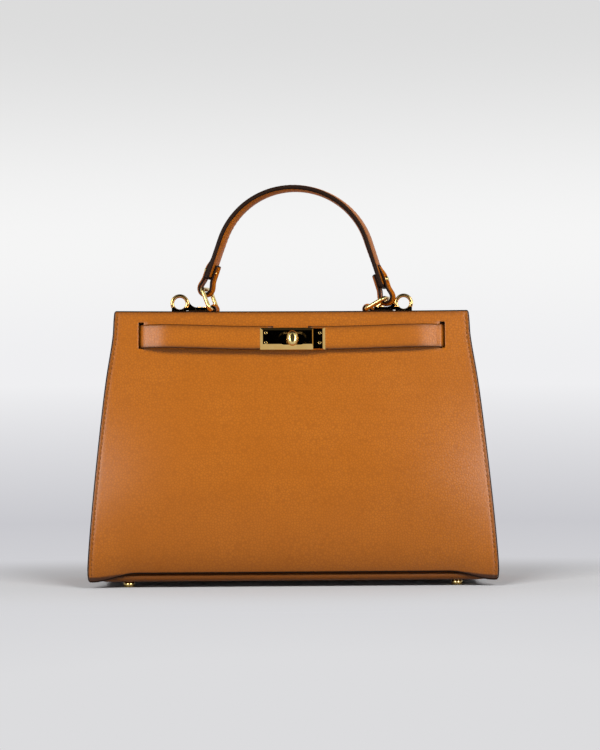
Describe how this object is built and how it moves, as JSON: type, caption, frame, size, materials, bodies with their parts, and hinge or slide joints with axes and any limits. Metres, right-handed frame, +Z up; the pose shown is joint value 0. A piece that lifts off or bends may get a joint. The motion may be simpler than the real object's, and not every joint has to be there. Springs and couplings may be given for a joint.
{
  "type": "top handle bag",
  "caption": "Trapezoid leather handbag with folded side gussets, a tuck-in top flap, a belt with a turn lock and a ringed top handle.",
  "frame": {"origin": "on the floor under the middle of the bag", "axes": "+X along the bag's width to the viewer's right, +Y from the front to the back, +Z up"},
  "size_m": [0.33, 0.1088, 0.3298],
  "materials": {
    "tan_leather": "fine grain, satin, dark painted cut edges",
    "lining_leather": "smooth matt lining skin",
    "stiffener_board": "pressed fibre board",
    "gold_plate": "polished gold-coloured plate"
  },
  "bodies": {
    "shell": {"front_panel": "tan_leather", "back_panel": "tan_leather", "front_lining": "lining_leather", "back_lining": "lining_leather", "left_gusset": "tan_leather", "right_gusset": "tan_leather", "base_panel": "tan_leather", "base_board": "stiffener_board", "base_feet": "gold_plate", "foot_washers": "gold_plate", "left_belt": "tan_leather", "right_belt": "tan_leather", "left_belt_plate": "gold_plate", "right_belt_plate": "gold_plate", "belt_plate_rivets": "gold_plate", "lock_base": "gold_plate", "lock_back_plate": "gold_plate", "lock_screws": "gold_plate"},
    "knob": {"lock_post": "gold_plate", "lock_knob": "gold_plate", "lock_retainer": "gold_plate"},
    "flap": {"top_flap": "tan_leather", "flap_lip": "tan_leather", "flap_lining": "lining_leather", "left_strap_eye": "gold_plate", "right_strap_eye": "gold_plate", "eye_screws": "gold_plate", "eye_backing_plates": "gold_plate", "left_handle_tab": "tan_leather", "right_handle_tab": "tan_leather"},
    "left_ring": {"left_handle_ring": "gold_plate"},
    "right_ring": {"right_handle_ring": "gold_plate"},
    "handle": {"handle_upper": "tan_leather", "handle_core": "stiffener_board", "handle_lower": "tan_leather", "left_handle_loop": "tan_leather", "right_handle_loop": "tan_leather", "handle_rivets": "gold_plate"}
  },
  "joints": [
    {"name": "flap_open", "type": "hinge", "parent": "shell", "child": "flap", "pos_m": [0, 0.02855, 0.2206], "axis": [-1, 0, 0], "range_deg": [0, 110]},
    {"name": "knob_turn", "type": "hinge", "parent": "shell", "child": "knob", "pos_m": [0, -0.03085, 0.2007], "axis": [0, -0.9928, 0.1195], "range_deg": [0, 90]},
    {"name": "handle_sway", "type": "hinge", "parent": "flap", "child": "left_ring", "pos_m": [-0.064, 0, 0.2263], "axis": [0.2588, 0.9659, 0], "range_deg": [-36, 0]},
    {"name": "right_ring_tilt", "type": "hinge", "parent": "flap", "child": "right_ring", "pos_m": [0.064, 0, 0.2263], "axis": [0.2588, 0.9659, 0], "range_deg": [-40, 0]},
    {"name": "handle_pivot", "type": "hinge", "parent": "left_ring", "child": "handle", "pos_m": [-0.07068, 0, 0.2431], "axis": [0.2588, 0.9659, 0], "range_deg": [0, 31]}
  ],
  "couplings": [
    {"joint": "right_ring_tilt", "follows": "handle_sway", "ratio": 1.1},
    {"joint": "handle_pivot", "follows": "handle_sway", "ratio": -0.836}
  ]
}
